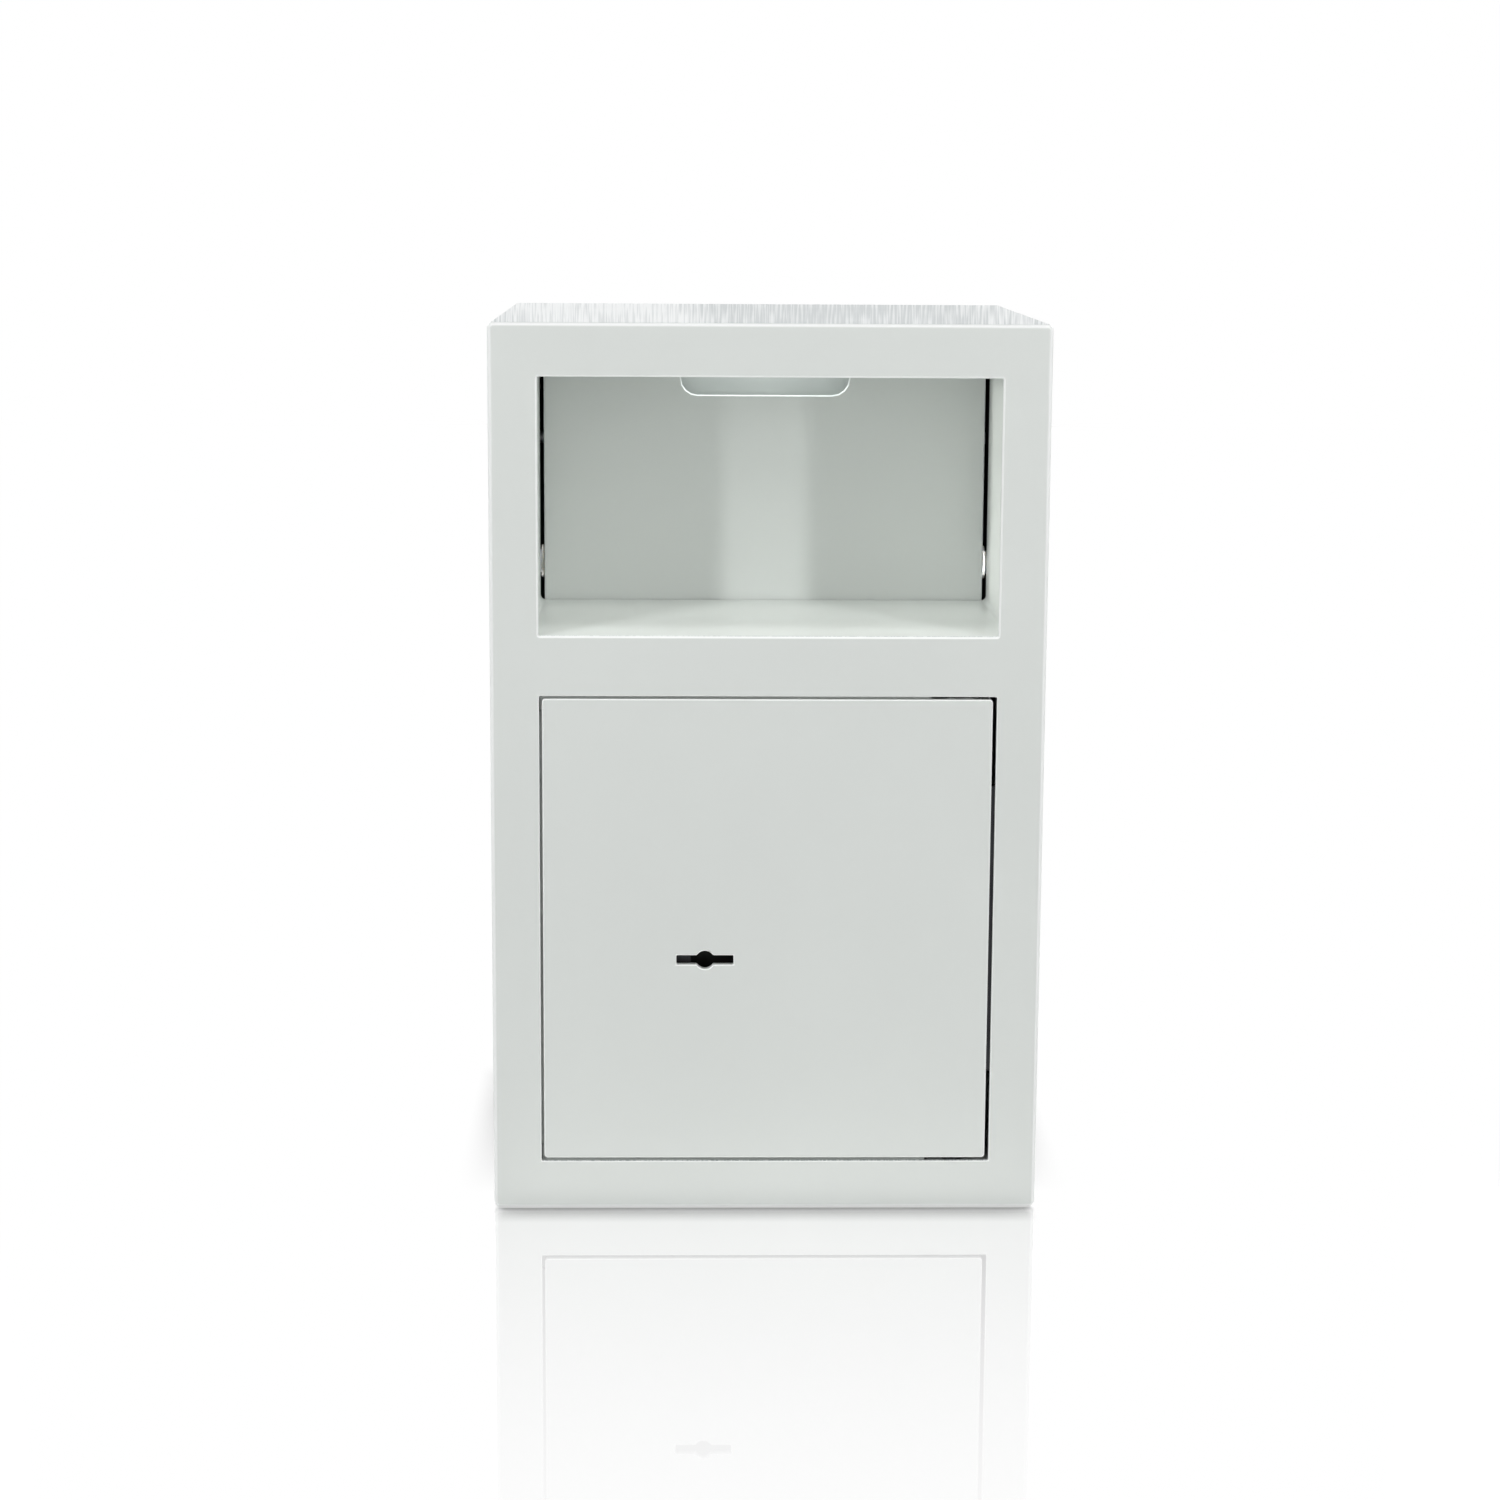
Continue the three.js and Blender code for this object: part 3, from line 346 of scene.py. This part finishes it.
def lock_plate(name):
    """Zinc plate with painted shade, black and not metal, on the faces that look at the keyhole."""
    material, tree = new_material(name)
    base, cloud, normal = zinc_sheet(tree, tree.place())
    to_keyhole = tree.math("LESS_THAN", tree.facing()[1], -0.5)
    # Painted shade on the faces that look at the keyhole
    keyhole_shade = tree.mix(tree.fit_noise(cloud), KEYHOLE_SHADE, KEYHOLE_SHADE_LIGHTER)
    base = tree.mix(to_keyhole, base, keyhole_shade)
    metal = tree.math("SUBTRACT", 1.0, to_keyhole)
    gloss = tree.fit_noise(cloud, 0.28, 0.4)
    tree.principled(Base_Color=base, Metallic=metal, Roughness=gloss, Normal=normal)
    return material


def machined(name, colour, roughness=0.3, lines=TOOL_LINES_ALONG_X):
    """Turned or milled metal: fine tool lines across one direction."""
    material, tree = new_material(name)
    place = tree.place()
    marks = tree.noise(tree.stretch(place, lines), 1.0, 3.0, 0.6)
    base = tree.mix(tree.fit_noise(marks, 0.2, 1.0), shade(colour, 0.8), colour)
    cloud = tree.noise(place, WEAR_CLOUD_SCALE)
    gloss = tree.fit_noise(cloud, roughness - 0.05, roughness + 0.1)
    normal = tree.bump(marks, 0.1, FINE_HEIGHT)
    tree.principled(Base_Color=base, Metallic=1.0, Roughness=gloss, Normal=normal)
    return material


def moulded(name, colour):
    """Moulded plastic with a fine matt texture."""
    material, tree = new_material(name)
    texture = tree.noise(tree.place(), PLASTIC_SCALE, 2.0, 0.6)
    base = tree.mix(tree.fit_noise(texture), colour, shade(colour, 1.4))
    gloss = tree.fit_noise(texture, 0.45, 0.53)
    normal = tree.bump(texture, 0.12, FINE_HEIGHT)
    tree.principled(Base_Color=base, Roughness=gloss, Normal=normal)
    return material


def nylon(name, colour):
    """White nylon, which carries light a few millimetres into the piece."""
    material, tree = new_material(name)
    texture = tree.noise(tree.place(), NYLON_SCALE)
    warmer = (colour[0], colour[1] * 0.98, colour[2] * 0.95, 1.0)
    base = tree.mix(tree.fit_noise(texture), colour, warmer)
    normal = tree.bump(texture, 0.05, FINE_HEIGHT)
    tree.principled(Base_Color=base, Roughness=0.4, Normal=normal, Subsurface_Weight=1.0,
                    Subsurface_Radius=(1.0, 0.95, 0.85), Subsurface_Scale=0.006)
    return material


finishes = {
    "shell": shell_coat("shell_coat", PAINT, PAINT_EDGE_HIGHLIGHT),
    "panel": powder_coat("panel_coat", PAINT, edge=PANEL_EDGE_HIGHLIGHT),
    "paint": powder_coat("light_coat", PAINT),
    # Painted shade: dark paint on the inner pieces behind the gaps
    "dark": powder_coat("inner_painted_shade", INNER_SHADE_GREY, 0.55, 0.08, 0.05),
    "zinc": plated("zinc_plate"),
    "steel": machined("bare_steel", STEEL),
    "black_steel": machined("black_steel", BLACK_STEEL, 0.45),
    "lock": lock_plate("lock_plate"),
    "brass": machined("brass", BRASS, 0.28, TOOL_LINES_ALONG_Z),
    "plastic": moulded("black_plastic", BLACK_PLASTIC),
    "nylon": nylon("white_nylon", NYLON),
}
FINISH_OF_SLOT = {
    "body_paint": "paint",
    "white_nylon": "nylon",
    "inner_paint": "dark",
    "zinc_plate": "zinc",
    "bare_steel": "steel",
    "brass": "brass",
    "black_plastic": "plastic",
}
FINISH_OF_PIECE = {
    "body_shell": "shell",
    "door_plate": "panel",
    "hopper_panel": "panel",
    "hinge_dog": "black_steel",
    # The lock tongue is given black steel: painted shade where it shows through the keyhole
    "lock_tongue": "black_steel",
    "lock_cover": "lock",
    "lock_case": "lock",
    "hinge_washer_upper": "black_steel",
    "hinge_washer_lower": "black_steel",
}


def dress_pieces():
    """Gives each piece its own finish, or else the one of its material slot in the record."""
    slot_of = {entry["node"]: entry["material_slot"] for entry in frame["record"]["subparts"]}
    for name, piece in nodes.items():
        finish = FINISH_OF_PIECE.get(name, FINISH_OF_SLOT[slot_of[name]])
        for slot in piece.material_slots:
            slot.material = finishes[finish]


# Smooth curves and fine edges on the pieces

WELD_DISTANCE = 2e-6
SMOOTH_BELOW = math.radians(32)
FLAT_BELOW = math.radians(0.3)
ROUND_ABOVE = math.radians(40)
EDGE_WIDTH = 0.0003
WIDER_EDGES = {"body_shell": 0.0006, "door_plate": 0.0006, "hopper_panel": 0.0008}
EDGE_SEGMENTS = 2
NORMAL_WEIGHT = 90


def smooth_group():
    """Joins the facets of a piece and shades smoothly across the bends under SMOOTH_BELOW."""
    group = bpy.data.node_groups.new("smooth_curves", "GeometryNodeTree")
    group.interface.new_socket("Geometry", in_out="INPUT", socket_type="NodeSocketGeometry")
    group.interface.new_socket("Geometry", in_out="OUTPUT", socket_type="NodeSocketGeometry")
    tree = group.nodes
    link = group.links.new
    start = tree.new("NodeGroupInput")
    weld = tree.new("GeometryNodeMergeByDistance")
    weld.inputs["Distance"].default_value = WELD_DISTANCE
    drop = tree.new("GeometryNodeRemoveAttribute")
    drop.inputs["Name"].default_value = "custom_normal"
    faces = tree.new("GeometryNodeSetShadeSmooth")
    edges = tree.new("GeometryNodeSetShadeSmooth")
    edges.domain = "EDGE"
    angle = tree.new("GeometryNodeInputMeshEdgeAngle")
    below = tree.new("FunctionNodeCompare")
    below.data_type = "FLOAT"
    below.operation = "LESS_THAN"
    below.inputs[1].default_value = SMOOTH_BELOW
    end = tree.new("NodeGroupOutput")
    link(start.outputs[0], weld.inputs[0])
    link(weld.outputs[0], drop.inputs[0])
    link(drop.outputs[0], faces.inputs[0])
    link(faces.outputs[0], edges.inputs[0])
    link(angle.outputs[0], below.inputs[0])
    link(below.outputs[0], edges.inputs["Shade Smooth"])
    link(edges.outputs[0], end.inputs[0])
    return group


def smooth_pieces():
    """Shades the curves smoothly, joins the flats and rounds the sharp edges of each piece."""
    group = smooth_group()
    for name, piece in nodes.items():
        curves = piece.modifiers.new("smooth_curves", "NODES")
        curves.node_group = group
        flats = piece.modifiers.new("join_flats", "DECIMATE")
        flats.decimate_type = "DISSOLVE"
        flats.angle_limit = FLAT_BELOW
        bevel = piece.modifiers.new("soft_edges", "BEVEL")
        bevel.width = WIDER_EDGES.get(name, EDGE_WIDTH)
        bevel.segments = EDGE_SEGMENTS
        bevel.limit_method = "ANGLE"
        bevel.angle_limit = ROUND_ABOVE
        bevel.use_clamp_overlap = name not in WIDER_EDGES
        even = piece.modifiers.new("even_normals", "WEIGHTED_NORMAL")
        even.mode = "FACE_AREA"
        even.weight = NORMAL_WEIGHT
        even.keep_sharp = True


# Studio

SKY = 0.1
AIM_HEIGHT = 0.4
WHITE_LIGHT = (1.0, 1.0, 1.0)
WARM_LIGHT = (1.0, 0.985, 0.955)
COOL_LIGHT = (0.92, 0.985, 1.0)
UP = Vector((0.0, 0.0, 1.0))
DOWN = Vector((0.0, 0.0, -1.0))
LEFT = Vector((-1.0, 0.0, 0.0))
RIGHT = Vector((1.0, 0.0, 0.0))
BACKWARDS = Vector((0.0, 1.0, 0.0))
FULL_SPREAD = 180.0

# Each lamp on a stand: degrees off the middle of the front, distance, height, size and watts
STUDIO_LAMPS = {
    "strip_left": (-36.0, 2.28, 0.66, (0.13, 0.7), 8.2),
    "strip_right": (35.0, 2.26, 0.66, (0.13, 0.7), 9.0),
    "high_left": (-36.5, 1.75, 1.45, (0.1, 0.9), 7.2),
    "high_right": (35.5, 1.75, 1.45, (0.1, 0.9), 6.9),
    "side_left": (-64.0, 2.2, 0.6, (0.6, 1.0), 1.4),
    "side_right": (64.0, 2.2, 0.6, (0.6, 1.0), 1.4),
    "edge_left": (-98.0, 2.0, 0.6, (0.8, 1.2), 3.5),
    "edge_right": (98.0, 2.0, 0.6, (0.8, 1.2), 3.5),
    "overhead": (0.0, 0.35, 1.9, (1.4, 0.35), 7.4),
    "back_left": (-148.0, 2.6, 1.3, (1.0, 1.0), 26.0),
    "back_right": (148.0, 2.6, 1.3, (1.0, 1.0), 26.0),
}
# The lamps that light the recess tray alone, in the same order
RAKE_LAMPS = {
    "rake_left": (-41.0, 1.75, 1.45, (0.1, 0.1), 7.0),
    "rake_right": (40.0, 1.75, 1.45, (0.1, 0.1), 6.0),
}

# The small lamps close to the object: place from a centre, direction, size, watts, and then the
# spread in degrees and the colour where they aren't the usual ones
FOOT_LAMPS = {
    "floor_bounce": ((0.0, -0.04, 0.004), UP, (2 * half_width, 0.06), 0.02),
}
MOUTH_LAMPS = {
    "recess_down": ((0.0, 0.0765, 0.0715), DOWN, (0.274, 0.138), 0.031, 50.0),
    "recess_front": ((0.0, 0.017, 0.0715), DOWN, (0.274, 0.026), 0.0075, 30.0),
    "recess_side_left": ((-0.1, 0.075, -0.003), LEFT, (0.13, 0.13), 0.01, 40.0),
    "recess_side_right": ((0.1, 0.075, -0.003), RIGHT, (0.13, 0.13), 0.025, 40.0),
}
NOTCH_LAMPS = {
    "recess_notch": ((0.0, 0.0, -0.008), BACKWARDS, (0.1, 0.02), 0.0046, FULL_SPREAD, COOL_LIGHT),
    "recess_lip": ((0.0, 0.0008, -0.0095), DOWN, (0.096, 0.0016), 0.0009),
}
LEFT_RIM_LAMP = {
    "recess_washer_left": ((0.0, -0.0012, 0.0), BACKWARDS, (0.0016, 0.017), 0.0012, 60.0),
}
RIGHT_RIM_LAMP = {
    "recess_washer_right": ((0.0, -0.0012, 0.0), BACKWARDS, (0.0016, 0.017), 0.00026, 60.0),
}
MOUTH_RISE = 0.075
NOTCH_RISE = 0.066


def make_lamp(name, place, direction, size, power, spread=FULL_SPREAD, colour=WARM_LIGHT):
    """An area lamp that neither the camera nor a reflection shows."""
    data = bpy.data.lights.new(name, "AREA")
    data.shape = "RECTANGLE"
    data.size, data.size_y = size
    data.energy = power
    data.color = colour
    data.spread = math.radians(spread)
    lamp = bpy.data.objects.new(name, data)
    lamp.location = place
    lamp.rotation_mode = "QUATERNION"
    lamp.rotation_quaternion = direction.to_track_quat("-Z", "Y")
    lamp.visible_camera = False
    lamp.visible_glossy = False
    scene.collection.objects.link(lamp)
    return lamp


def studio_lamp(name, azimuth, distance, height, size, power, aim):
    """A white lamp round the object, which reflections show, turned to a place."""
    angle = math.radians(azimuth)
    place = Vector((math.sin(angle) * distance, front_y - math.cos(angle) * distance, height))
    lamp = make_lamp(name, place, aim - place, size, power, colour=WHITE_LIGHT)
    lamp.visible_glossy = True
    return lamp


def light_only(lamp, node):
    """Lets a lamp light one piece alone, which the other pieces still shade."""
    lit = bpy.data.collections.new(lamp.name)
    lit.objects.link(nodes[node])
    lamp.light_linking.receiver_collection = lit


def lamps_from(centre, lamps):
    for name, (offset, *facts) in lamps.items():
        make_lamp(name, centre + Vector(offset), *facts)


def light_outside():
    face = Vector((0.0, front_y, AIM_HEIGHT))
    for name, facts in STUDIO_LAMPS.items():
        studio_lamp(name, *facts, face)
    lamps_from(Vector((0.0, front_y, 0.0)), FOOT_LAMPS)


def light_recess():
    """The light in the recess, in the grip behind the finger notch and on the washers' rims.

    The mouth is the middle of the recess's front, and the notch is a point on the panel's front.
    """
    tray_low, tray_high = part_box("recess_tray")
    panel_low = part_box("hopper_panel")[0]
    washer_low, washer_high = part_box("pivot_washer_right")
    mouth = Vector(((tray_low.x + tray_high.x) / 2, front_y, panel_low.z + MOUTH_RISE))
    notch = Vector((mouth.x, panel_low.y, mouth.z + NOTCH_RISE))
    right_rim = (washer_low + washer_high) / 2
    right_rim.y = washer_low.y
    left_rim = Vector((-right_rim.x, right_rim.y, right_rim.z))
    lamps_from(mouth, MOUTH_LAMPS)
    for name, facts in RAKE_LAMPS.items():
        light_only(studio_lamp(name, *facts, mouth), "recess_tray")
    lamps_from(notch, NOTCH_LAMPS)
    lamps_from(left_rim, LEFT_RIM_LAMP)
    lamps_from(right_rim, RIGHT_RIM_LAMP)


def make_world():
    """A dim even sky that looks white where it is seen."""
    world = bpy.data.worlds.new("studio")
    scene.world = world
    world.use_nodes = True
    tree = Nodes(world.node_tree)
    light = tree.add("ShaderNodeBackground", {"Color": WHITE, "Strength": SKY})
    white = tree.add("ShaderNodeBackground", {"Color": WHITE, "Strength": 1.0})
    mixed = tree.blend(tree.seen(), light, white)
    tree.add("ShaderNodeOutputWorld", {"Surface": mixed.outputs[0]})


# Floor

FLOOR_HALF = 6.0
FLOOR_DROP = 0.0004
FLOOR_WHITE = (0.86, 0.86, 0.86, 1.0)
MIRROR_REACH = 0.62
MIRROR_FALL = 1.7
MIRROR_SHARE = 0.42
MIRROR_ROUGHNESS = 0.02
SHADOW_REACH = 0.026
SHADOW_SAMPLES = 8
SHADOW_LOW = 0.2
FOOT_BLEND = 0.002
CORNER_BLEND = 0.006
SIDE_START = 0.03
SIDE_FULL = 0.2


def floor_mirror(tree, y):
    """How much of the front the floor mirrors, less and less towards the viewer."""
    near = tree.fit(y, front_y - MIRROR_REACH, front_y)
    return tree.math("MULTIPLY", tree.math("POWER", near, MIRROR_FALL), MIRROR_SHARE)


def floor_shade(tree, x, y):
    """White with the contact shadow ahead of the front and beside the rear of the object."""
    ahead = tree.fit(y, front_y + FOOT_BLEND, front_y)
    across = tree.fit(tree.math("ABSOLUTE", x), half_width, half_width - CORNER_BLEND)
    beside = tree.fit(y, front_y + SIDE_START, front_y + SIDE_FULL)
    shaded = tree.largest(tree.math("MULTIPLY", ahead, across), beside)
    openness = tree.add("ShaderNodeAmbientOcclusion", {"Distance": SHADOW_REACH}, samples=SHADOW_SAMPLES)
    return tree.mix(shaded, WHITE, tree.fit(openness.outputs["AO"], 0.5, 1.0, SHADOW_LOW, 1.0))


def floor_material():
    """Plain white where it is seen, with the mirrored front, and a pale matt floor for the light."""
    material, tree = new_material("floor_white")
    x, y, _ = tree.split(tree.add("ShaderNodeNewGeometry").outputs["Position"])
    dull = tree.add("ShaderNodeBsdfDiffuse", {"Color": FLOOR_WHITE})
    glow = tree.add("ShaderNodeEmission", {"Color": floor_shade(tree, x, y), "Strength": 1.0})
    mirror = tree.add("ShaderNodeBsdfGlossy", {"Color": WHITE, "Roughness": MIRROR_ROUGHNESS})
    shown = tree.blend(floor_mirror(tree, y), glow, mirror)
    tree.finish(tree.blend(tree.seen(), dull, shown))
    return material


def make_floor():
    mesh = bpy.data.meshes.new("floor")
    signs = ((-1, -1), (1, -1), (1, 1), (-1, 1))
    corners = [(x * FLOOR_HALF, y * FLOOR_HALF, 0.0) for x, y in signs]
    mesh.from_pydata(corners, [], [(0, 1, 2, 3)])
    mesh.materials.append(floor_material())
    floor = bpy.data.objects.new("floor", mesh)
    floor.location.z = -FLOOR_DROP
    scene.collection.objects.link(floor)


make_camera()
dress_pieces()
smooth_pieces()
light_outside()
light_recess()
make_world()
make_floor()

scene.view_settings.view_transform = "Standard"
